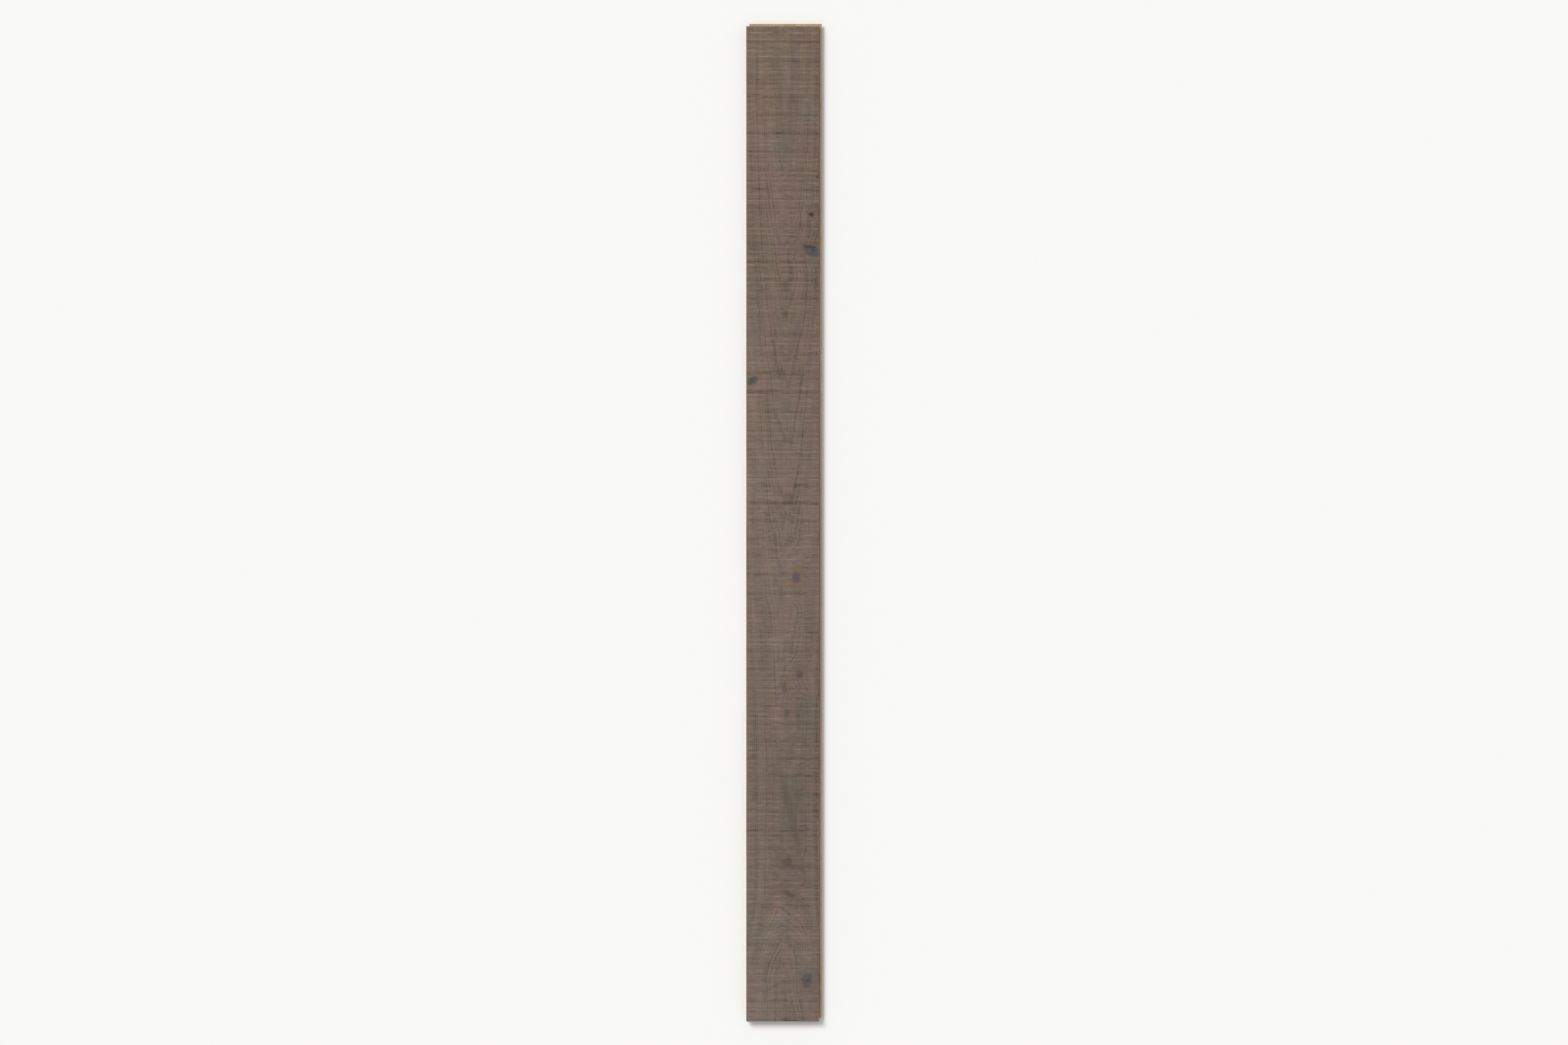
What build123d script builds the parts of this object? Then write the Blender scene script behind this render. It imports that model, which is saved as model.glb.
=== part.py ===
"""Solid oak floorboard, tongued and grooved on all four sides, in millimetres.

The board lies face up: X runs across it, Y along it and +Z up out of its face.
The origin is the middle of the underside, below the middle of the face.
"""

import os

from build123d import *

# Driving dimensions: what the face covers when it is laid, and the board's thickness.
FACE_WIDTH = 162.0
FACE_LENGTH = 2215.0
THICKNESS = 20.0

# Bevel along all four edges of the face, where two laid boards meet.
FACE_BEVEL = 1.0

# Tongue, on the +X side and the +Y end.
WEAR_DEPTH = 7.5
TONGUE_THICKNESS = 6.0
TONGUE_REACH = 6.0
TONGUE_NOSE = 1.0

# Clearances that let a tongue into a groove until the faces close.
TONGUE_PLAY = 0.1
GROOVE_SPARE = 1.0
LOWER_SETBACK = 0.5

# Relief channels along the underside, which let the board bed down flat.
CHANNEL_COUNT = 6
CHANNEL_WIDTH = 6.0
CHANNEL_DEPTH = 2.5
CHANNEL_PITCH = FACE_WIDTH / (CHANNEL_COUNT + 0.75)

# Room by which a cutter runs past the edge of the stock.
OVERRUN = 5.0

# The face's edges: grooves are cut in from the low ones, tongues stand out from the high ones.
HIGH_X = FACE_WIDTH / 2
LOW_X = -HIGH_X
HIGH_Y = FACE_LENGTH / 2
LOW_Y = -HIGH_Y

# Heights of the joint, from the underside.
GROOVE_TOP = THICKNESS - WEAR_DEPTH
GROOVE_HEIGHT = TONGUE_THICKNESS + 2 * TONGUE_PLAY
GROOVE_BOTTOM = GROOVE_TOP - GROOVE_HEIGHT
GROOVE_DEPTH = TONGUE_REACH + GROOVE_SPARE
TONGUE_TOP = GROOVE_TOP - TONGUE_PLAY
TONGUE_BOTTOM = TONGUE_TOP - TONGUE_THICKNESS
TONGUE_TIP_X = HIGH_X + TONGUE_REACH
TONGUE_TIP_Y = HIGH_Y + TONGUE_REACH

# The board's cross-section, met going round from the bevel on the groove side.
SECTION = [
    (LOW_X, THICKNESS - FACE_BEVEL),
    (LOW_X + FACE_BEVEL, THICKNESS),
    (HIGH_X - FACE_BEVEL, THICKNESS),
    (HIGH_X, THICKNESS - FACE_BEVEL),
    (HIGH_X, TONGUE_TOP),
    (TONGUE_TIP_X - TONGUE_NOSE, TONGUE_TOP),
    (TONGUE_TIP_X, TONGUE_TOP - TONGUE_NOSE),
    (TONGUE_TIP_X, TONGUE_BOTTOM + TONGUE_NOSE),
    (TONGUE_TIP_X - TONGUE_NOSE, TONGUE_BOTTOM),
    (HIGH_X - LOWER_SETBACK, TONGUE_BOTTOM),
    (HIGH_X - LOWER_SETBACK, 0),
    (LOW_X + LOWER_SETBACK, 0),
    (LOW_X + LOWER_SETBACK, GROOVE_BOTTOM),
    (LOW_X + GROOVE_DEPTH, GROOVE_BOTTOM),
    (LOW_X + GROOVE_DEPTH, GROOVE_TOP),
    (LOW_X, GROOVE_TOP),
]

# What is milled off the tongue end, seen from +X as (Y, Z): above and below the tongue.
ABOVE_END_TONGUE = [
    (HIGH_Y - FACE_BEVEL, THICKNESS),
    (HIGH_Y, THICKNESS - FACE_BEVEL),
    (HIGH_Y, TONGUE_TOP),
    (TONGUE_TIP_Y - TONGUE_NOSE, TONGUE_TOP),
    (TONGUE_TIP_Y, TONGUE_TOP - TONGUE_NOSE),
    (TONGUE_TIP_Y + OVERRUN, TONGUE_TOP - TONGUE_NOSE),
    (TONGUE_TIP_Y + OVERRUN, THICKNESS),
]
BELOW_END_TONGUE = [
    (HIGH_Y - LOWER_SETBACK, 0),
    (HIGH_Y - LOWER_SETBACK, TONGUE_BOTTOM),
    (TONGUE_TIP_Y - TONGUE_NOSE, TONGUE_BOTTOM),
    (TONGUE_TIP_Y, TONGUE_BOTTOM + TONGUE_NOSE),
    (TONGUE_TIP_Y + OVERRUN, TONGUE_BOTTOM + TONGUE_NOSE),
    (TONGUE_TIP_Y + OVERRUN, 0),
]

# What is milled off the groove end, seen the same way: the bevel, the groove and the setback.
END_BEVEL = [
    (LOW_Y - OVERRUN, THICKNESS),
    (LOW_Y + FACE_BEVEL, THICKNESS),
    (LOW_Y, THICKNESS - FACE_BEVEL),
    (LOW_Y - OVERRUN, THICKNESS - FACE_BEVEL),
]
END_GROOVE = [
    (LOW_Y - OVERRUN, GROOVE_TOP),
    (LOW_Y + GROOVE_DEPTH, GROOVE_TOP),
    (LOW_Y + GROOVE_DEPTH, GROOVE_BOTTOM),
    (LOW_Y + LOWER_SETBACK, GROOVE_BOTTOM),
    (LOW_Y + LOWER_SETBACK, 0),
    (LOW_Y - OVERRUN, 0),
]

MILLED_WIDTH = TONGUE_TIP_X - LOW_X + 2 * OVERRUN

with BuildPart() as floorboard:
    # The matched strip: the section run along the whole length, end tongue included.
    with BuildSketch(Plane.XZ.offset(-LOW_Y)):
        with BuildLine():
            Polyline(*SECTION, close=True)
        make_face()
    extrude(amount=LOW_Y - TONGUE_TIP_Y)

    # End matching, milled straight across the strip.
    for outline in (ABOVE_END_TONGUE, BELOW_END_TONGUE, END_BEVEL, END_GROOVE):
        with BuildSketch(Plane.YZ.offset(LOW_X - OVERRUN)):
            with BuildLine():
                Polyline(*outline, close=True)
            make_face()
        extrude(amount=MILLED_WIDTH, mode=Mode.SUBTRACT)

    # Relief channels, clear of the groove and the tongue, from end to end.
    with BuildSketch(Plane.XY):
        with GridLocations(CHANNEL_PITCH, 0, CHANNEL_COUNT, 1):
            Rectangle(CHANNEL_WIDTH, FACE_LENGTH + 2 * OVERRUN)
    extrude(amount=CHANNEL_DEPTH, mode=Mode.SUBTRACT)

floorboard.part.label = "floorboard"

os.makedirs("parts", exist_ok=True)
export_step(floorboard.part, "parts/floorboard.step")
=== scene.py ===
"""Looks of a solid oak floorboard with a band-sawn, grey-brown stained face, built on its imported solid."""

import math
from collections import namedtuple

import bmesh
import bpy
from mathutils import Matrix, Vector
from mathutils.geometry import intersect_point_line


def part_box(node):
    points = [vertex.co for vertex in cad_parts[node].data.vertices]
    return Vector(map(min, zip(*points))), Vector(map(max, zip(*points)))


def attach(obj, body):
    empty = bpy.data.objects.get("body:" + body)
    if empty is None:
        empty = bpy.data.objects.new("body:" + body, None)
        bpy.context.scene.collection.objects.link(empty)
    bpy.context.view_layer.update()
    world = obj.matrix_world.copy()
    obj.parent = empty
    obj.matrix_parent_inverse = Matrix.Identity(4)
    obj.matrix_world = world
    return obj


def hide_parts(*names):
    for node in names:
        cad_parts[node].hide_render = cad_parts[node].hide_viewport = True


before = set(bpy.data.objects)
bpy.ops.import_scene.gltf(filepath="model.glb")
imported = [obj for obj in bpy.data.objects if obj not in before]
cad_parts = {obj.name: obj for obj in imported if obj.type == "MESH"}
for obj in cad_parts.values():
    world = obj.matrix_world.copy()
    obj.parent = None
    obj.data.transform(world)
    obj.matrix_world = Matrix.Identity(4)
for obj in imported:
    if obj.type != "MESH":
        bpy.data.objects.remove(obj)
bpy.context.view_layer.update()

MM = 0.001
IMAGE_WIDTH = 2352
IMAGE_HEIGHT = 1568

# The board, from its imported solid: the origin is below the middle of the face, so the low corner,
# on the groove side and the groove end, gives half the face's width and length.
BOARD_LOW, BOARD_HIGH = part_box("floorboard")
HALF_WIDTH = -BOARD_LOW.x
HALF_LENGTH = -BOARD_LOW.y
FACE_Z = BOARD_HIGH.z

# The face's sides and ends in millimetres, from the groove's to the tongue's.
SIDES = (-HALF_WIDTH / MM, HALF_WIDTH / MM)
ENDS = (-HALF_LENGTH / MM, HALF_LENGTH / MM)

# The face's own mesh: rows across it fine enough to carry the saw marks.
FACE_ROWS = 1848
FACE_COLUMNS = 46

# What counts as one point, as one flat face, and as a face that looks up.
TOUCHING = 0.01 * MM
FLAT_ANGLE = 0.01
LEAST_UPWARD = 0.5

# The part of a noise's values that is stretched over a pattern's range, for a noise with much detail
# and for one with little.
DETAILED_NOISE = (0.25, 0.75)
PLAIN_NOISE = (0.3, 0.7)

# Feed of the band saw, in millimetres. The same teeth come round again with every turn of it, so the
# marks repeat, but the feed drifts and the blade leans a little.
FEED_TURN = 41.0
FEED_DRIFT = 14.0
FEED_DRIFT_RUN = 420.0
BLADE_LEAN = 0.006
SAW_SEED = 3.0
SEED_STEP = 1000.0

# What the blade leaves in each turn: teeth that each cut a little differently, and waves that come and
# go. Each wave has its count in a turn, its strength and where in the turn it starts.
TEETH_IN_TURN = 11.0
TOOTH_STRENGTH = 0.7
Wave = namedtuple("Wave", "count strength start")
BLADE_WAVES = [
    Wave(count=1, strength=0.5, start=0.4),
    Wave(count=2, strength=0.45, start=1.9),
    Wave(count=3, strength=0.6, start=3.3),
    Wave(count=4, strength=0.45, start=0.7),
    Wave(count=6, strength=0.35, start=5.1),
]
WAVE_PEAK = 1.5
WAVE_CHANGES_IN_TURN = 0.3
WAVES_APART = 97.0

# Lines of single teeth that stood proud: many thin ones, light or dark, and here and there a lone deep
# one. Each kind has its spacing and half width in millimetres, the share of its teeth that leave no
# line, and the least and the most that a line stands out.
Lines = namedtuple("Lines", "spacing half_width spared least most")
TOOTH_LINES = [
    Lines(spacing=8.0, half_width=1.4, spared=0.0, least=-1.0, most=1.6),
    Lines(spacing=90.0, half_width=1.1, spared=0.5, least=0.0, most=-1.5),
]

# No mark is even: it is fainter or stronger in patches, so many millimetres wide, and the blade bit
# harder towards the tongue end.
PATCH_WIDTH = 45.0
PATCHES_IN_TURN = 6.0
FAINTEST_PATCH = 0.1
STRONGEST_PATCH = 1.5
BITE_AT_GROOVE_END = 0.8
BITE_AT_TONGUE_END = 1.2

# Depths below the face, in millimetres. A knot's dip is full to a share of its size and gone at another.
MARK_DEPTH = 0.2
KNOT_DIP = 0.25
KNOT_DIP_FULL = 0.6
KNOT_DIP_END = 1.3

# The tree the board was sawn from, in millimetres: ring width, and where its heart ran below the face.
# The heart lay deepest about a sixth of the way along from the groove end and rose from there to both
# ends, so the arches of the figure open towards the ends.
RING_WIDTH = 1.4
HEART_X = 8.0
HEART_DEPTH = 200.4
Rise = namedtuple("Rise", "start end height")
HEART_RISES = [Rise(start=-800, end=-1020, height=11), Rise(start=-640, end=1100, height=30)]

# A trunk is never round: slow swells, small waves along the grain, and fibres that fray each ring's
# edge, in millimetres. Round a knot the rings bend within so many times its size.
Sway = namedtuple("Sway", "width length reach")
RING_SWAYS = [
    Sway(width=60, length=420, reach=1.4),
    Sway(width=18, length=110, reach=0.4),
    Sway(width=1.8, length=26, reach=0.3),
]
BEND_ACROSS = 2.4
BEND_ALONG = 3.0

# A year's ring, in shares of its width: where its open spring wood is at its fullest and where it ends,
# and how open it is in the leanest year.
SPRING_FULL = 0.15
SPRING_END = 0.75
LEANEST_YEAR = 0.2

# Patches along the grain: a width and length in millimetres, and streaks of that size, of which the part
# from low to high is stretched from the least to the most.
Patches = namedtuple("Patches", "width length low high least most")

# The stain: warm brown, greyer towards the groove end, with drifts of other tints.
WARM_STAIN = "#725F52"
GREY_STAIN = "#6C635B"
MOST_GREY = 0.6
STAIN_DRIFTS = {
    "#66645A": Patches(width=70, length=170, low=-0.2, high=0.8, least=0.0, most=0.45),
    "#795E5B": Patches(width=50, length=120, low=-0.2, high=0.8, least=0.0, most=0.5),
    "#70604B": Patches(width=34, length=90, low=-0.2, high=0.8, least=0.0, most=0.4),
}

# What makes the stained face lighter or darker, each by a share of its own colour: its two sides, a slow
# wash along it, streaks, fibres, pores, rings and saw marks. Widths and lengths are in millimetres.
SHADE_AT_GROOVE_SIDE = 1.18
SHADE_AT_TONGUE_SIDE = 1.03
WASH_LENGTH = 1250.0
WASH_START = 1.3
WASH_SHARE = 0.055
Streak = namedtuple("Streak", "width length share")
STAIN_STREAKS = [
    Streak(width=60, length=130, share=0.1),
    Streak(width=22, length=60, share=0.07),
    Streak(width=30, length=5, share=0.15),
    Streak(width=16, length=2.6, share=0.2),
    Streak(width=30, length=0.9, share=0.1),
    Streak(width=14, length=900, share=0.06),
]
FIBRE = Streak(width=3.2, length=60, share=0.04)
SEASONS_IN_RING = 0.3
SEASON_SHARE = 0.07
RING_SHARE = -0.38
PORE_SHARE = -0.25
MARK_SHARE = 0.13

# The saw's ridges are worn a little smoother than its valleys.
VALLEY_ROUGHNESS = 0.74
RIDGE_ROUGHNESS = 0.58

# How unevenly the rings and the knots took the stain.
RING_UPTAKE = Patches(width=8, length=110, low=-0.5, high=0.5, least=0.45, most=1.15)
KNOT_UPTAKE = Patches(width=5, length=20, low=-0.6, high=0.6, least=0.7, most=1.15)

# The stain is rubbed off the face's edges here and there: most up to so many millimetres from the edge,
# and not at all further in.
RUBBED = Patches(width=45, length=130, low=-0.4, high=0.5, least=0.0, most=1.0)
RUBBED_SHARE = 0.6
RUBBED_MOST = 0.6
RUBBED_END = 2.2
RUBBED_COLOUR = "#95846F"

# Pores are a third of a millimetre wide: drawn at about one, so that they show. Dense summer wood has
# only a share of them, and spring wood has them all from so far open.
FACE_PORES = Patches(width=1.1, length=15, low=0.22, high=0.55, least=0.0, most=1.0)
RAW_PORES = Patches(width=1.0, length=14, low=0.15, high=0.65, least=0.0, most=0.55)
SUMMER_PORES = 0.3
OPEN_FOR_ALL_PORES = 0.6

# Bare oak: two tans that drift into each other, the darker one a little rougher, and the colours of its
# rings and pores.
RAW_TAN = "#BEA787"
RAW_DARK_TAN = "#B09877"
RAW_DRIFT = Patches(width=60, length=400, low=-0.6, high=0.6, least=0.0, most=1.0)
RAW_ROUGHNESS = 0.66
RAW_DARK_ROUGHNESS = 0.78
RAW_RING_COLOUR = "#8B7050"
RAW_RING_SHARE = 0.55
RAW_PORE_COLOUR = "#74593E"

# Knots on the face, in millimetres from its middle: place, size across and along, the colours of its core
# and of the wood about it, how strongly they show, how far the rings swell round it, and its turn in
# degrees. The sixth is a dark check at the fifth's edge. The flames are brown flecks of the figure.
Knot = namedtuple("Knot", "x y across along core halo strength swell turn", defaults=[0])
KNOTS = [
    Knot(x=54, y=-1017, across=24, along=34, core="#585456", halo="#5F5650", strength=0.85, swell=4),
    Knot(x=38, y=-336, across=17, along=18, core="#605249", halo="#66574B", strength=0.64, swell=4),
    Knot(x=31, y=-120, across=17, along=26, core="#5F575D", halo="#7A5C48", strength=0.85, swell=9),
    Knot(x=-67, y=318, across=24, along=18, core="#535153", halo="#74624A", strength=0.95, swell=3, turn=22),
    Knot(x=67, y=607, across=42, along=22, core="#52545B", halo="#6A5A4C", strength=1.0, swell=3, turn=-24),
    Knot(x=60, y=616, across=34, along=6, core="#39363A", halo="#5E5148", strength=0.65, swell=0, turn=-5),
    Knot(x=64, y=688, across=12, along=11, core="#472F28", halo="#6E5444", strength=0.9, swell=2.5),
    Knot(x=77, y=772, across=7, along=7, core="#514339", halo="#6A5648", strength=0.8, swell=1.5),
]
FLAMES = [
    Knot(x=4, y=-365, across=9, along=26, core="#55473C", halo="#67584B", strength=0.5, swell=1.5),
    Knot(x=10, y=-422, across=12, along=15, core="#55473C", halo="#67584B", strength=0.5, swell=2),
    Knot(x=17, y=-640, across=15, along=150, core="#55473C", halo="#67584B", strength=0.4, swell=2, turn=13),
    Knot(x=9, y=-753, across=24, along=17, core="#50433A", halo="#67584B", strength=0.6, swell=2.5, turn=18),
    Knot(x=14, y=-824, across=30, along=11, core="#50433A", halo="#67584B", strength=0.6, swell=3, turn=-32),
]

# How uneven a knot's outline is: the grain of it in millimetres, and its push as a share of the size.
OUTLINE_GRAIN = 11.0
OUTLINE_PUSH = 0.7

# How a knot is drawn, in shares of its own size: an edge that is crisp on a knot and soft on a flame, a
# dark rim, and a halo in the wood about it.
EDGE_AT = 0.8
KNOT_EDGE = 0.4
FLAME_EDGE = 0.95
RIM_AT = 0.85
RIM_TO_EDGE = 0.6
RIM_COLOUR = "#3F3731"
RIM_SHARE = 0.35
HALO_END = 2.8
HALO_SHARE = 0.65

# A knot's own rings: their width in millimetres, and where they start to fade and end, in shares of its
# size.
KNOT_RING_WIDTH = 1.3
KNOT_RING_COLOUR = "#2C2725"
KNOT_RING_SHARE = 0.35
KNOT_RINGS_FADE = 0.85
KNOT_RINGS_END = 1.15

CHECKS_ROUND = 1.3
CHECK_WIDTH = 0.016
CHECKS_FADE = 0.4
CHECKS_END = 0.95
CHECK_COLOUR = "#1E1A18"
CHECK_SHARE = 0.65
CHECK_TO_PORE_DEPTH = 3.0


def add(tree, kind, *feeds, **named):
    """Adds a node with its settings and links, and gives back its first output.

    Feeds go to its sockets in order. A named value is one of the node's settings, or goes to
    the socket of that name.
    """
    node = tree.nodes.new(kind)
    for name, value in named.items():
        if hasattr(node, name):
            setattr(node, name, value)
    sockets = [socket for socket in node.inputs if socket.enabled]
    by_name = {socket.name: socket for socket in reversed(sockets)}
    fed = list(zip(sockets, feeds))
    fed += [(by_name[name], value) for name, value in named.items() if not hasattr(node, name)]
    for socket, value in fed:
        if isinstance(value, bpy.types.NodeSocket):
            tree.links.new(value, socket)
        elif value is not None:
            socket.default_value = value
    return next((socket for socket in node.outputs if socket.enabled), None)


def linear(hex_colour):
    """An sRGB hex colour as linear red, green, blue and alpha."""
    parts = [int(hex_colour[i:i + 2], 16) / 255 for i in (1, 3, 5)]
    return [p / 12.92 if p <= 0.04045 else ((p + 0.055) / 1.055) ** 2.4 for p in parts] + [1.0]


# Camera

CAMERA_LENS = 100.0
CAMERA_SENSOR = 36.0
BOARD_SHARE_OF_HEIGHT = 0.955


def camera_above():
    """Looks straight down, as the photograph does, with the tongue end up in the picture."""
    data = bpy.data.cameras.new("camera")
    data.lens = CAMERA_LENS
    data.sensor_width = CAMERA_SENSOR
    seen = (BOARD_HIGH.y - BOARD_LOW.y) / BOARD_SHARE_OF_HEIGHT
    sensor_height = CAMERA_SENSOR * IMAGE_HEIGHT / IMAGE_WIDTH
    camera = bpy.data.objects.new("camera", data)
    camera.location = (BOARD_LOW + BOARD_HIGH) / 2
    camera.location.z = FACE_Z + seen * CAMERA_LENS / sensor_height
    bpy.context.scene.collection.objects.link(camera)
    bpy.context.scene.camera = camera


# Patterns of the wood, shared by the face's shape and by its colours. Each reads a place in millimetres.


def in_millimetres(tree, spot):
    """A place in metres as one in millimetres."""
    return add(tree, "ShaderNodeVectorMath", spot, (1 / MM, 1 / MM, 1 / MM), operation="MULTIPLY")


def streaks(tree, place, width, length):
    """Uneven streaks along the grain, about -1 to 1, of a width and length in millimetres."""
    size = (1 / width, 1 / length, 1 / width)
    along = add(tree, "ShaderNodeVectorMath", place, size, operation="MULTIPLY")
    noise = add(tree, "ShaderNodeTexNoise", Vector=along, Scale=1.0, Detail=4.0, Roughness=0.65)
    return add(tree, "ShaderNodeMapRange", noise, *DETAILED_NOISE, -1.0, 1.0)


def patches(tree, place, kind):
    """Streaks of a kind's size, stretched from its least to its most."""
    pattern = streaks(tree, place, kind.width, kind.length)
    return add(tree, "ShaderNodeMapRange", pattern, kind.low, kind.high, kind.least, kind.most)


def turns_of_feed(tree, place, turn, seed):
    """How many turns the feed had made when the blade cut a place, with its drift."""
    x, y, _ = add(tree, "ShaderNodeSeparateXYZ", place).node.outputs
    fed = add(tree, "ShaderNodeMath", x, BLADE_LEAN, y, operation="MULTIPLY_ADD")
    fed = add(tree, "ShaderNodeMath", seed, SEED_STEP, fed, operation="MULTIPLY_ADD")
    run = 1 / FEED_DRIFT_RUN
    drift = add(tree, "ShaderNodeTexNoise", noise_dimensions="1D", W=fed, Scale=run, Detail=0.0)
    fed = add(tree, "ShaderNodeMath", drift, 2 * FEED_DRIFT, fed, operation="MULTIPLY_ADD")
    return add(tree, "ShaderNodeMath", fed, turn, operation="DIVIDE")


def blade_marks(tree, turns):
    """What every turn leaves: the cut of each tooth, and the waves that the blade repeats."""
    teeth = add(
        tree, "ShaderNodeTexNoise", noise_dimensions="1D", W=turns,
        Scale=TEETH_IN_TURN, Detail=3.0, Roughness=0.7,
    )
    marks = add(tree, "ShaderNodeMapRange", teeth, *DETAILED_NOISE, -TOOTH_STRENGTH, TOOTH_STRENGTH)
    for wave in BLADE_WAVES:
        angle = 2 * math.pi * wave.count
        angle = add(tree, "ShaderNodeMath", turns, angle, wave.start, operation="MULTIPLY_ADD")
        swing = add(tree, "ShaderNodeMath", angle, operation="SINE")
        apart = add(tree, "ShaderNodeMath", turns, WAVES_APART * wave.count, operation="ADD")
        heavy = add(
            tree, "ShaderNodeTexNoise", noise_dimensions="1D", W=apart,
            Scale=WAVE_CHANGES_IN_TURN, Detail=1.0,
        )
        heavy = add(tree, "ShaderNodeMapRange", heavy, *PLAIN_NOISE, 0.0, WAVE_PEAK * wave.strength)
        marks = add(tree, "ShaderNodeMath", swing, heavy, marks, operation="MULTIPLY_ADD")
    return marks


def with_tooth_lines(tree, turns, marks):
    """Marks with the lines of single teeth that stood proud."""
    for lines in TOOTH_LINES:
        spacing = lines.spacing / FEED_TURN
        tooth = add(tree, "ShaderNodeTexVoronoi", voronoi_dimensions="1D", W=turns, Scale=1 / spacing)
        line = add(tree, "ShaderNodeMapRange", tooth, 0.0, lines.half_width / lines.spacing, 1.0, 0.0)
        bite = add(tree, "ShaderNodeSeparateXYZ", tooth.node.outputs["Color"])
        bite = add(tree, "ShaderNodeMapRange", bite, lines.spared, 1.0, lines.least, lines.most)
        marks = add(tree, "ShaderNodeMath", line, bite, marks, operation="MULTIPLY_ADD")
    return marks


def saw_marks(tree, place, turn, seed):
    """Marks that a band saw leaves straight across a board: about -1 in a valley, 1 on a ridge."""
    turns = turns_of_feed(tree, place, turn, seed)
    marks = with_tooth_lines(tree, turns, blade_marks(tree, turns))

    x, y, _ = add(tree, "ShaderNodeSeparateXYZ", place).node.outputs
    over = add(tree, "ShaderNodeMath", x, 1 / PATCH_WIDTH, operation="MULTIPLY")
    rows = add(tree, "ShaderNodeMath", turns, PATCHES_IN_TURN, operation="MULTIPLY")
    patch = add(tree, "ShaderNodeCombineXYZ", over, rows)
    fade = add(tree, "ShaderNodeTexNoise", noise_dimensions="2D", Vector=patch, Scale=1.0, Detail=1.0)
    fade = add(tree, "ShaderNodeMapRange", fade, *PLAIN_NOISE, FAINTEST_PATCH, STRONGEST_PATCH)
    marks = add(tree, "ShaderNodeMath", marks, fade, operation="MULTIPLY")
    bite = add(tree, "ShaderNodeMapRange", y, *ENDS, BITE_AT_GROOVE_END, BITE_AT_TONGUE_END)
    return add(tree, "ShaderNodeMath", marks, bite, operation="MULTIPLY")


def knot_place(tree, place, knot):
    """A place as seen from a knot's middle, where a length of 1 is about the knot's own uneven edge."""
    rough = add(tree, "ShaderNodeTexNoise", Vector=place, Scale=1 / OUTLINE_GRAIN, Detail=2.0)
    rough = rough.node.outputs["Color"]
    push = add(tree, "ShaderNodeVectorMath", rough, (-0.5, -0.5, -0.5), operation="ADD")
    size = OUTLINE_PUSH * min(knot.across, knot.along)
    place = add(tree, "ShaderNodeVectorMath", push, (size, size, 0.0), place, operation="MULTIPLY_ADD")
    off = add(tree, "ShaderNodeVectorMath", place, (knot.x, knot.y, 0.0), operation="SUBTRACT")
    off = add(tree, "ShaderNodeVectorRotate", off, rotation_type="Z_AXIS", Angle=math.radians(-knot.turn))
    half = (2 / knot.across, 2 / knot.along, 0.0)
    return add(tree, "ShaderNodeVectorMath", off, half, operation="MULTIPLY")


def heart_distance(tree, place):
    """How far a place is from the tree's heart, in millimetres."""
    x, y, z = add(tree, "ShaderNodeSeparateXYZ", place).node.outputs
    across = add(tree, "ShaderNodeMath", x, HEART_X, operation="SUBTRACT")
    above = add(tree, "ShaderNodeMath", z, HEART_DEPTH - FACE_Z / MM, operation="ADD")
    for rise in HEART_RISES:
        risen = add(
            tree, "ShaderNodeMapRange", y, rise.start, rise.end, 0.0, rise.height,
            interpolation_type="SMOOTHSTEP",
        )
        above = add(tree, "ShaderNodeMath", above, risen, operation="SUBTRACT")
    radius = add(tree, "ShaderNodeCombineXYZ", across, 0.0, above)
    return add(tree, "ShaderNodeVectorMath", radius, operation="LENGTH")


def growth_rings(tree, place):
    """The tree's rings, as a count from the heart that runs on from ring to ring."""
    radius = heart_distance(tree, place)
    for sway in RING_SWAYS:
        wave = streaks(tree, place, sway.width, sway.length)
        radius = add(tree, "ShaderNodeMath", wave, sway.reach, radius, operation="MULTIPLY_ADD")
    for knot in KNOTS + FLAMES:
        off = add(tree, "ShaderNodeVectorMath", place, (knot.x, knot.y, 0.0), operation="SUBTRACT")
        bend = (1 / (BEND_ACROSS * knot.across), 1 / (BEND_ALONG * knot.along), 0.0)
        off = add(tree, "ShaderNodeVectorMath", off, bend, operation="MULTIPLY")
        off = add(tree, "ShaderNodeVectorMath", off, operation="LENGTH")
        swell = add(
            tree, "ShaderNodeMapRange", off, 0.0, 1.0, knot.swell, 0.0, interpolation_type="SMOOTHSTEP",
        )
        radius = add(tree, "ShaderNodeMath", radius, swell, operation="ADD")
    return add(tree, "ShaderNodeMath", radius, RING_WIDTH, operation="DIVIDE")


def spring_wood(tree, rings):
    """1 where a ring's open spring wood is at its fullest, falling to 0 in its dense summer wood."""
    part = add(tree, "ShaderNodeMath", rings, operation="FRACT")
    rise = add(tree, "ShaderNodeMapRange", part, 0.0, SPRING_FULL, 0.0, 1.0)
    fall = add(tree, "ShaderNodeMapRange", part, SPRING_FULL, SPRING_END, 1.0, 0.0)
    whole = add(tree, "ShaderNodeMath", rings, operation="FLOOR")
    year = add(tree, "ShaderNodeTexWhiteNoise", noise_dimensions="1D", W=whole)
    year = add(tree, "ShaderNodeMapRange", year, 0.0, 1.0, LEANEST_YEAR, 1.0)
    open_wood = add(tree, "ShaderNodeMath", rise, fall, operation="MULTIPLY")
    return add(tree, "ShaderNodeMath", open_wood, year, operation="MULTIPLY")


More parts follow.
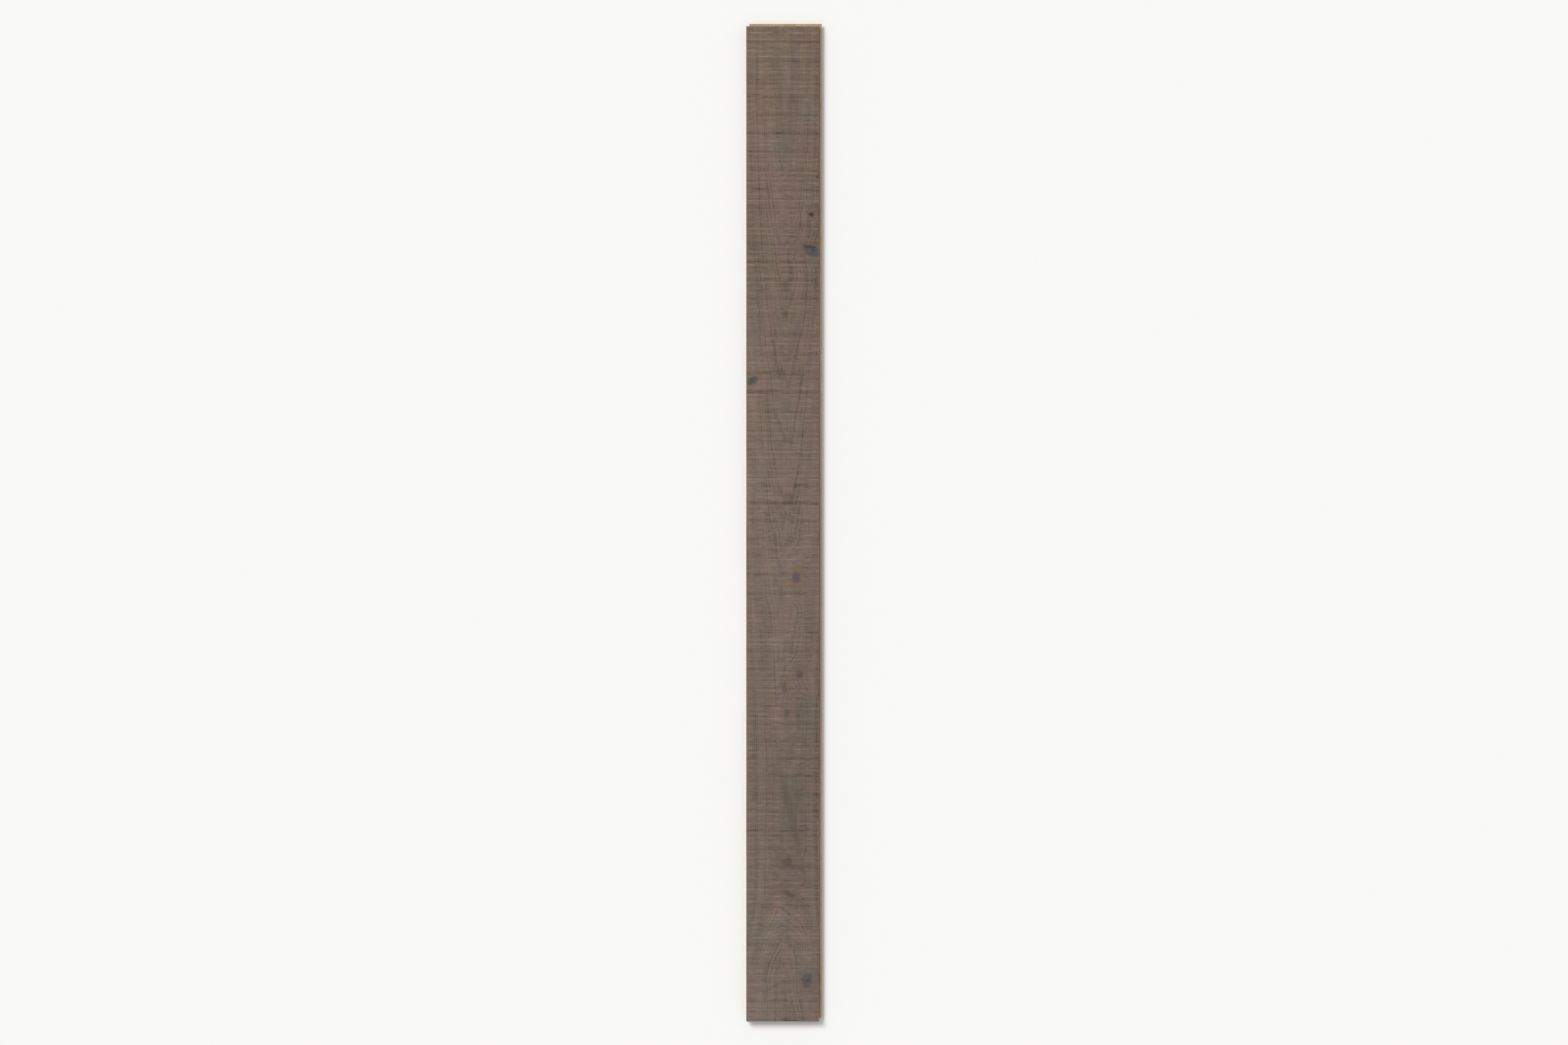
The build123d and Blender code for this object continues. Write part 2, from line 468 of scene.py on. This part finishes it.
def knot_checks(tree, knot, spot):
    """Cracks that run out from a knot's heart: 1 in a crack, 0 beside it and beyond the knot's edge."""
    off = add(tree, "ShaderNodeVectorMath", spot, operation="LENGTH")
    way = add(tree, "ShaderNodeVectorMath", spot, operation="NORMALIZE")
    way = add(tree, "ShaderNodeVectorMath", way, (knot.x, knot.y, 0.0), operation="ADD")
    turned = add(tree, "ShaderNodeTexNoise", Vector=way, Scale=CHECKS_ROUND, Detail=1.0)
    turned = add(tree, "ShaderNodeMath", turned, 0.5, operation="SUBTRACT")
    beside = add(tree, "ShaderNodeMath", turned, operation="ABSOLUTE")
    beside = add(tree, "ShaderNodeMath", beside, off, operation="MULTIPLY")
    crack = add(tree, "ShaderNodeMapRange", beside, 0.0, CHECK_WIDTH, 1.0, 0.0)
    within = add(tree, "ShaderNodeMapRange", off, CHECKS_FADE, CHECKS_END, 1.0, 0.0)
    return add(tree, "ShaderNodeMath", crack, within, operation="MULTIPLY")


# Materials


def bare_tree(name):
    """A new material with an empty tree, that tree, and the place on the piece in millimetres."""
    material = bpy.data.materials.new(name)
    material.use_nodes = True
    tree = material.node_tree
    tree.nodes.clear()
    spot = add(tree, "ShaderNodeTexCoord").node.outputs["Object"]
    return material, tree, in_millimetres(tree, spot)


def stain_colour(tree, place):
    """The stain as it took up differently along the board, and greyer towards the groove end."""
    _, y, _ = add(tree, "ShaderNodeSeparateXYZ", place).node.outputs
    grey = add(tree, "ShaderNodeMapRange", y, *ENDS, MOST_GREY, 0.0)
    colour = add(tree, "ShaderNodeMix", grey, linear(WARM_STAIN), linear(GREY_STAIN), data_type="RGBA")
    for tint, drift in STAIN_DRIFTS.items():
        share = patches(tree, place, drift)
        colour = add(tree, "ShaderNodeMix", share, colour, linear(tint), data_type="RGBA")
    return colour


def stained_rings(tree, place):
    """How dark the stain makes the open spring wood, and how it changes over groups of years."""
    count = growth_rings(tree, place)
    seasons = add(
        tree, "ShaderNodeTexNoise", noise_dimensions="1D", W=count, Scale=SEASONS_IN_RING, Detail=1.0,
    )
    seasons = add(tree, "ShaderNodeMapRange", seasons, *PLAIN_NOISE, -1.0, 1.0)
    taken = patches(tree, place, RING_UPTAKE)
    rings = add(tree, "ShaderNodeMath", spring_wood(tree, count), taken, operation="MULTIPLY")
    return rings, seasons


def stained_pores(tree, place, rings):
    """Pores full of stain, most of them in the open spring wood."""
    in_rings = add(tree, "ShaderNodeMapRange", rings, 0.0, OPEN_FOR_ALL_PORES, SUMMER_PORES, 1.0)
    return add(tree, "ShaderNodeMath", patches(tree, place, FACE_PORES), in_rings, operation="MULTIPLY")


def stain_shade(tree, place, figure):
    """How light or dark the stain is: its own wash and streaks, and figure given in pairs with its share."""
    x, y, _ = add(tree, "ShaderNodeSeparateXYZ", place).node.outputs
    shade = add(tree, "ShaderNodeMapRange", x, *SIDES, SHADE_AT_GROOVE_SIDE, SHADE_AT_TONGUE_SIDE)
    wash = add(tree, "ShaderNodeMath", y, 2 * math.pi / WASH_LENGTH, WASH_START, operation="MULTIPLY_ADD")
    wash = add(tree, "ShaderNodeMath", wash, operation="SINE")
    own = [(streaks(tree, place, streak.width, streak.length), streak.share) for streak in STAIN_STREAKS]
    for pattern, share in [(wash, WASH_SHARE)] + own + figure:
        shade = add(tree, "ShaderNodeMath", pattern, share, shade, operation="MULTIPLY_ADD")
    return shade


def with_knots(tree, place, spots, colour):
    """A colour with the knots and flames: on each a tinted halo, an uneven core and a dark rim."""
    uneven = patches(tree, place, KNOT_UPTAKE)
    for knot, spot in spots.items():
        off = add(tree, "ShaderNodeVectorMath", spot, operation="LENGTH")
        edge = KNOT_EDGE if knot in KNOTS else FLAME_EDGE
        halo = add(tree, "ShaderNodeMapRange", off, EDGE_AT, HALO_END, HALO_SHARE * knot.strength, 0.0)
        core = add(
            tree, "ShaderNodeMapRange", off, EDGE_AT - edge / 2, EDGE_AT + edge / 2, knot.strength, 0.0,
            interpolation_type="SMOOTHSTEP",
        )
        core = add(tree, "ShaderNodeMath", core, uneven, operation="MULTIPLY")
        rim = add(tree, "ShaderNodeMath", off, RIM_AT, operation="SUBTRACT")
        rim = add(tree, "ShaderNodeMath", rim, operation="ABSOLUTE")
        rim = add(tree, "ShaderNodeMapRange", rim, 0.0, RIM_TO_EDGE * edge, RIM_SHARE * knot.strength, 0.0)
        for share, tint in ((halo, knot.halo), (core, knot.core), (rim, RIM_COLOUR)):
            colour = add(tree, "ShaderNodeMix", share, colour, linear(tint), data_type="RGBA")
    return colour


def with_knot_figure(tree, spots, colour):
    checks = 0.0
    for knot in KNOTS:
        off = add(tree, "ShaderNodeVectorMath", spots[knot], operation="LENGTH")
        years = min(knot.across, knot.along) / 2 / KNOT_RING_WIDTH
        ring = spring_wood(tree, add(tree, "ShaderNodeMath", off, years, operation="MULTIPLY"))
        share = KNOT_RING_SHARE * knot.strength
        within = add(tree, "ShaderNodeMapRange", off, KNOT_RINGS_FADE, KNOT_RINGS_END, share, 0.0)
        ring = add(tree, "ShaderNodeMath", ring, within, operation="MULTIPLY")
        colour = add(tree, "ShaderNodeMix", ring, colour, linear(KNOT_RING_COLOUR), data_type="RGBA")
        crack = knot_checks(tree, knot, spots[knot])
        dark = add(tree, "ShaderNodeMath", crack, CHECK_SHARE * knot.strength, operation="MULTIPLY")
        colour = add(tree, "ShaderNodeMix", dark, colour, linear(CHECK_COLOUR), data_type="RGBA")
        checks = add(tree, "ShaderNodeMath", checks, crack, operation="MAXIMUM")
    return colour, checks


def with_rubbed_edges(tree, place, colour):
    """A colour with the stain rubbed off the face's edges in places."""
    x, y, _ = add(tree, "ShaderNodeSeparateXYZ", place).node.outputs
    out_x = add(tree, "ShaderNodeMath", x, operation="ABSOLUTE")
    out_x = add(tree, "ShaderNodeMath", out_x, HALF_WIDTH / MM, operation="SUBTRACT")
    out_y = add(tree, "ShaderNodeMath", y, operation="ABSOLUTE")
    out_y = add(tree, "ShaderNodeMath", out_y, HALF_LENGTH / MM, operation="SUBTRACT")
    edge = add(tree, "ShaderNodeMath", out_x, out_y, operation="MAXIMUM")
    edge = add(tree, "ShaderNodeMapRange", edge, -RUBBED_END, -RUBBED_MOST, 0.0, RUBBED_SHARE)
    edge = add(tree, "ShaderNodeMath", edge, patches(tree, place, RUBBED), operation="MULTIPLY")
    return add(tree, "ShaderNodeMix", edge, colour, linear(RUBBED_COLOUR), data_type="RGBA")


def stained_sawn_oak():
    """Oak, band-sawn across and stained grey-brown, then oiled matt.

    The eye gets pale ridges where the stain is worn thin, dark valleys and pores where it lies
    thick, arched rings, checked knots, and slow drifts between warm brown and grey-green.
    """
    material, tree, place = bare_tree("stained_band_sawn_oak")
    marks = saw_marks(tree, place, FEED_TURN, SAW_SEED)
    fibre = streaks(tree, place, FIBRE.width, FIBRE.length)
    rings, seasons = stained_rings(tree, place)
    pores = stained_pores(tree, place, rings)
    figure = [
        (fibre, FIBRE.share),
        (seasons, SEASON_SHARE),
        (rings, RING_SHARE),
        (pores, PORE_SHARE),
        (marks, MARK_SHARE),
    ]
    shade = stain_shade(tree, place, figure)
    colour = add(tree, "ShaderNodeVectorMath", stain_colour(tree, place), shade, operation="SCALE")
    spots = {knot: knot_place(tree, place, knot) for knot in FLAMES + KNOTS}
    colour = with_knots(tree, place, spots, colour)
    colour, checks = with_knot_figure(tree, spots, colour)
    colour = with_rubbed_edges(tree, place, colour)

    relief = add(tree, "ShaderNodeMath", pores, -1.0, fibre, operation="MULTIPLY_ADD")
    relief = add(tree, "ShaderNodeMath", checks, -CHECK_TO_PORE_DEPTH, relief, operation="MULTIPLY_ADD")
    bump = add(tree, "ShaderNodeBump", Strength=0.6, Distance=0.15 * MM, Height=relief)
    roughness = add(tree, "ShaderNodeMapRange", marks, -1.0, 1.0, VALLEY_ROUGHNESS, RIDGE_ROUGHNESS)
    surface = add(
        tree, "ShaderNodeBsdfPrincipled", colour,
        Roughness=roughness, Normal=bump, **{"Specular IOR Level": 0.3},
    )
    add(tree, "ShaderNodeOutputMaterial", surface)
    return material


def raw_planed_oak():
    """Oak as the planer and the moulder left it: pale tan, its rings and pores plain, dry and unoiled."""
    material, tree, place = bare_tree("raw_planed_oak")
    drift = patches(tree, place, RAW_DRIFT)
    colour = add(tree, "ShaderNodeMix", drift, linear(RAW_TAN), linear(RAW_DARK_TAN), data_type="RGBA")
    rings = spring_wood(tree, growth_rings(tree, place))
    darker = add(tree, "ShaderNodeMath", rings, RAW_RING_SHARE, operation="MULTIPLY")
    colour = add(tree, "ShaderNodeMix", darker, colour, linear(RAW_RING_COLOUR), data_type="RGBA")
    pores = patches(tree, place, RAW_PORES)
    colour = add(tree, "ShaderNodeMix", pores, colour, linear(RAW_PORE_COLOUR), data_type="RGBA")
    bump = add(tree, "ShaderNodeBump", Strength=0.5, Distance=0.1 * MM, Height=pores, invert=True)
    roughness = add(tree, "ShaderNodeMapRange", drift, 0.0, 1.0, RAW_ROUGHNESS, RAW_DARK_ROUGHNESS)
    surface = add(
        tree, "ShaderNodeBsdfPrincipled", colour,
        Roughness=roughness, Normal=bump, **{"Specular IOR Level": 0.3},
    )
    add(tree, "ShaderNodeOutputMaterial", surface)
    return material


# The board


def open_shell():
    """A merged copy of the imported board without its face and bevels, and how wide the bevels are."""
    shell = bmesh.new()
    shell.from_mesh(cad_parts["floorboard"].data)
    bmesh.ops.remove_doubles(shell, verts=shell.verts, dist=TOUCHING)
    bmesh.ops.dissolve_limit(shell, angle_limit=FLAT_ANGLE, verts=shell.verts, edges=shell.edges)
    top = [v.co.x for v in shell.verts if v.co.z > FACE_Z - TOUCHING]
    bevel = min(top) + HALF_WIDTH
    everything = [*shell.verts, *shell.edges, *shell.faces]
    bmesh.ops.bisect_plane(shell, geom=everything, plane_co=(0, 0, 0), plane_no=(0, 1, 0))
    upward = [f for f in shell.faces if f.normal.z > LEAST_UPWARD]
    upper = [f for f in upward if max(v.co.z for v in f.verts) > FACE_Z - TOUCHING]
    bmesh.ops.delete(shell, geom=upper, context="FACES")
    return shell, bevel


def divided_rim(shell):
    """The rim where the face goes, divided to match it: its groove and tongue sides, then those ends."""
    for edge in [e for e in shell.edges if e.is_boundary]:
        run = edge.verts[0].co - edge.verts[1].co
        parts = FACE_COLUMNS if abs(run.x) > abs(run.y) else FACE_ROWS // 2
        bmesh.ops.subdivide_edges(shell, edges=[edge], cuts=parts - 1)
    rim = [v for v in shell.verts if v.is_boundary]
    left = sorted((v for v in rim if v.co.x < TOUCHING - HALF_WIDTH), key=lambda v: v.co.y)
    right = sorted((v for v in rim if v.co.x > HALF_WIDTH - TOUCHING), key=lambda v: v.co.y)
    near = sorted((v for v in rim if v.co.y < TOUCHING - HALF_LENGTH), key=lambda v: v.co.x)
    far = sorted((v for v in rim if v.co.y > HALF_LENGTH - TOUCHING), key=lambda v: v.co.x)
    return left, right, near, far


def face_grid(shell, bevel, sawn):
    """The points of the face within its bevels, in columns along the board, marked for the saw."""
    inner = Vector((HALF_WIDTH - bevel, HALF_LENGTH - bevel))
    grid = []
    for i in range(FACE_COLUMNS + 1):
        across = inner.x * (2 * i / FACE_COLUMNS - 1)
        column = []
        for j in range(FACE_ROWS + 1):
            vert = shell.verts.new((across, inner.y * (2 * j / FACE_ROWS - 1), FACE_Z))
            vert[sawn] = 1.0
            column.append(vert)
        grid.append(column)
    return grid


def board_with_face_mesh():
    """The board as a closed mesh: the solid's own sides, and a fine grid for its face."""
    shell, bevel = open_shell()
    section = section_below(shell)
    sawn = shell.verts.layers.float.new("sawn")
    stained = shell.faces.layers.bool.new("stained")
    left, right, near, far = divided_rim(shell)
    grid = face_grid(shell, bevel, sawn)
    sheet = [left] + grid + [right]
    for one, other in zip(sheet, sheet[1:]):
        for j in range(FACE_ROWS):
            quad = shell.faces.new((one[j], other[j], other[j + 1], one[j + 1]))
            quad[stained] = True
            quad.smooth = one is not left and other is not right
    for i in range(FACE_COLUMNS):
        for corners in (
            (near[i], near[i + 1], grid[i + 1][0], grid[i][0]),
            (grid[i][-1], grid[i + 1][-1], far[i + 1], far[i]),
        ):
            shell.faces.new(corners)[stained] = True
    lay_out_for_baking(shell, stained, section)
    return shell


# Layout of the baked map, in pixels of a square map: the face in three strips, the sides and the
# underside rolled out in two, and the small faces of the ends in rows of cells.

MAP_SIDE = 1024
MAP_MARGIN = 3
FACE_STRIPS = 3
FACE_STRIP_HEIGHT = 224
SIDE_STRIPS = 2
SIDE_STRIP_HEIGHT = 151
END_CELLS_IN_ROW = 8
END_CELL_HEIGHT = 8
CELL_MARGIN = 1


def section_below(shell):
    """The cross-section at mid length, from the groove side's rim round below to the tongue side's."""
    middle = {v for v in shell.verts if abs(v.co.y) < TOUCHING}
    beside = {v: [e.other_vert(v) for e in v.link_edges if e.other_vert(v) in middle] for v in middle}
    path = [min((v for v in middle if len(beside[v]) == 1), key=lambda v: v.co.x)]
    onward = beside[path[0]]
    while onward:
        path.append(onward[0])
        onward = [v for v in beside[path[-1]] if v is not path[-2]]
    return [v.co.xz for v in path]


def way_round(section, place):
    """How far along a cross-section a place on it lies, from 0 to 1."""
    gone = 0.0
    found = []
    for one, other in zip(section, section[1:]):
        part = intersect_point_line(place.xz, one, other)[1]
        part = min(max(part, 0.0), 1.0)
        length = (other - one).length
        found.append(((place.xz - one.lerp(other, part)).length, gone + part * length))
        gone += length
    return min(found)[1] / gone


def spots_in_strips(corners, shares, low, strips, height):
    """Map places of a face that lies in one of several strips, by its corners' shares across the strip."""
    run = 2 * HALF_LENGTH / strips
    ys = [corner.y + HALF_LENGTH for corner in corners]
    strip = min(int((min(ys) + max(ys)) / 2 / run), strips - 1)
    base = low + strip * (height + MAP_MARGIN)
    span = MAP_SIDE - 2 * MAP_MARGIN
    return [Vector((MAP_MARGIN + (y / run - strip) * span, base + s * height)) for y, s in zip(ys, shares)]


def spots_in_cell(corners, low, cell):
    """Map places of a small end face, spread over a cell of its own."""
    sides = []
    for axis in range(3):
        values = [corner[axis] for corner in corners]
        sides.append((max(values) - min(values), min(values), axis))
    sides.sort(reverse=True)
    row, column = divmod(cell, END_CELLS_IN_ROW)
    width = MAP_SIDE / END_CELLS_IN_ROW
    start = Vector((column * width + CELL_MARGIN, low + row * END_CELL_HEIGHT + CELL_MARGIN))
    span = Vector((width - 2 * CELL_MARGIN, END_CELL_HEIGHT - 2 * CELL_MARGIN))
    spots = []
    for corner in corners:
        u, v = [(corner[axis] - least) / size for size, least, axis in sides[:2]]
        spots.append(start + Vector((u * span.x, v * span.y)))
    return spots


def lay_out_for_baking(shell, stained, section):
    """Gives the board its own map for a bake, with most of the pixels on the face."""
    uv = shell.loops.layers.uv.new("OFBake")
    side_low = MAP_MARGIN + FACE_STRIPS * (FACE_STRIP_HEIGHT + MAP_MARGIN)
    end_low = side_low + SIDE_STRIPS * (SIDE_STRIP_HEIGHT + MAP_MARGIN)
    cell = 0
    for face in shell.faces:
        corners = [loop.vert.co for loop in face.loops]
        ys = [corner.y for corner in corners]
        if face[stained]:
            shares = [corner.x / (2 * HALF_WIDTH) + 0.5 for corner in corners]
            spots = spots_in_strips(corners, shares, MAP_MARGIN, FACE_STRIPS, FACE_STRIP_HEIGHT)
        elif max(ys) - min(ys) > HALF_LENGTH / 2:
            shares = [way_round(section, corner) for corner in corners]
            spots = spots_in_strips(corners, shares, side_low, SIDE_STRIPS, SIDE_STRIP_HEIGHT)
        else:
            spots = spots_in_cell(corners, end_low, cell)
            cell += 1
        for loop, spot in zip(face.loops, spots):
            loop[uv].uv = spot / MAP_SIDE


# Sawing of the face


def band_sawn_face():
    """Geometry nodes that press the saw's marks and the knots' dips into the face."""
    tree = bpy.data.node_groups.new("band_sawn_face", "GeometryNodeTree")
    for name, kind in (
        ("Board", "NodeSocketGeometry"),
        ("Feed turn", "NodeSocketFloat"),
        ("Mark depth", "NodeSocketFloat"),
        ("Knot dip", "NodeSocketFloat"),
        ("Seed", "NodeSocketFloat"),
        ("Face finish", "NodeSocketMaterial"),
        ("Bare finish", "NodeSocketMaterial"),
    ):
        tree.interface.new_socket(name, in_out="INPUT", socket_type=kind)
    tree.interface.new_socket("Board", in_out="OUTPUT", socket_type="NodeSocketGeometry")
    given = add(tree, "NodeGroupInput").node.outputs
    place = in_millimetres(tree, add(tree, "GeometryNodeInputPosition"))

    marks = saw_marks(tree, place, given["Feed turn"], given["Seed"])
    sunk = add(tree, "ShaderNodeMapRange", marks, -1.0, 1.0, 1.0, 0.0)
    sunk = add(tree, "ShaderNodeMath", sunk, given["Mark depth"], operation="MULTIPLY")
    for knot in KNOTS + FLAMES:
        off = add(tree, "ShaderNodeVectorMath", knot_place(tree, place, knot), operation="LENGTH")
        dip = add(tree, "ShaderNodeMapRange", off, KNOT_DIP_FULL, KNOT_DIP_END, knot.strength, 0.0)
        sunk = add(tree, "ShaderNodeMath", dip, given["Knot dip"], sunk, operation="MULTIPLY_ADD")
    sawn = add(tree, "GeometryNodeInputNamedAttribute", "sawn", data_type="FLOAT")
    sunk = add(tree, "ShaderNodeMath", sunk, sawn, operation="MULTIPLY")
    drop = add(tree, "ShaderNodeMath", sunk, -MM, operation="MULTIPLY")
    drop = add(tree, "ShaderNodeCombineXYZ", 0.0, 0.0, drop)
    board = add(tree, "GeometryNodeSetPosition", given["Board"], Offset=drop)

    board = add(tree, "GeometryNodeRealizeInstances", board)
    stained = add(tree, "GeometryNodeInputNamedAttribute", "stained", data_type="BOOLEAN")
    bare = add(tree, "FunctionNodeBooleanMath", stained, operation="NOT")
    board = add(tree, "GeometryNodeSetMaterial", board, stained, given["Face finish"])
    board = add(tree, "GeometryNodeSetMaterial", board, bare, given["Bare finish"])
    output = tree.nodes.new("NodeGroupOutput")
    tree.links.new(board, output.inputs[0])
    return tree


def blank_board():
    """The board before sawing, as an object for the saw's modifier."""
    mesh = bpy.data.meshes.new("floorboard_blank")
    shell = board_with_face_mesh()
    shell.to_mesh(mesh)
    shell.free()
    blank = bpy.data.objects.new("floorboard_blank", mesh)
    bpy.context.scene.collection.objects.link(blank)
    return blank


def floorboard():
    """The one piece: the board with its face sawn, stained and knotted."""
    blank = blank_board()
    tree = band_sawn_face()
    sawing = blank.modifiers.new("band_sawn_face", "NODES")
    sawing.node_group = tree
    inputs = {
        "Feed turn": FEED_TURN,
        "Mark depth": MARK_DEPTH,
        "Knot dip": KNOT_DIP,
        "Seed": SAW_SEED,
        "Face finish": stained_sawn_oak(),
        "Bare finish": raw_planed_oak(),
    }
    for item in tree.interface.items_tree:
        if item.in_out == "INPUT" and item.name in inputs:
            sawing[item.identifier] = inputs[item.name]
    depsgraph = bpy.context.evaluated_depsgraph_get()
    sawn = bpy.data.meshes.new_from_object(
        blank.evaluated_get(depsgraph), preserve_all_data_layers=True, depsgraph=depsgraph,
    )
    bpy.data.objects.remove(blank)
    piece = bpy.data.objects.new("oak_floorboard", sawn)
    bpy.context.scene.collection.objects.link(piece)
    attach(piece, "root")
    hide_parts("floorboard")


# Stage

FLOOR_SIDE = 60.0
FLOOR_GAP = 0.2 * MM
KEY_DIRECTION = Vector((0.62, -0.7, -1.0))
KEY_STRENGTH = 2.1
KEY_SOFTNESS = 0.5
FILL_STRENGTH = 0.5


def studio_floor():
    """A floor in matt white paint: pale and without gloss, so that only the board's shadow shows on it."""
    material = bpy.data.materials.new("matt_white_paint")
    material.use_nodes = True
    finish = material.node_tree.nodes["Principled BSDF"]
    finish.inputs["Base Color"].default_value = linear("#FAFAF8")
    finish.inputs["Roughness"].default_value = 0.9
    finish.inputs["Specular IOR Level"].default_value = 0.1
    half = FLOOR_SIDE / 2
    mesh = bpy.data.meshes.new("floor")
    corners = [(x, y, -FLOOR_GAP) for x, y in ((-half, -half), (half, -half), (half, half), (-half, half))]
    mesh.from_pydata(corners, [], [(0, 1, 2, 3)])
    mesh.materials.append(material)
    floor = bpy.data.objects.new("floor", mesh)
    bpy.context.scene.collection.objects.link(floor)


def studio_light():
    """One soft key light from the upper left, and an even fill."""
    key_data = bpy.data.lights.new("key", "SUN")
    key_data.energy = KEY_STRENGTH
    key_data.angle = KEY_SOFTNESS
    key = bpy.data.objects.new("key", key_data)
    key.rotation_euler = KEY_DIRECTION.to_track_quat("-Z", "Y").to_euler()
    bpy.context.scene.collection.objects.link(key)

    world = bpy.data.worlds.new("studio")
    world.use_nodes = True
    fill = world.node_tree.nodes["Background"]
    fill.inputs["Color"].default_value = linear("#FFFFFF")
    fill.inputs["Strength"].default_value = FILL_STRENGTH
    bpy.context.scene.world = world
    bpy.context.scene.view_settings.view_transform = "Standard"


camera_above()
floorboard()
studio_floor()
studio_light()
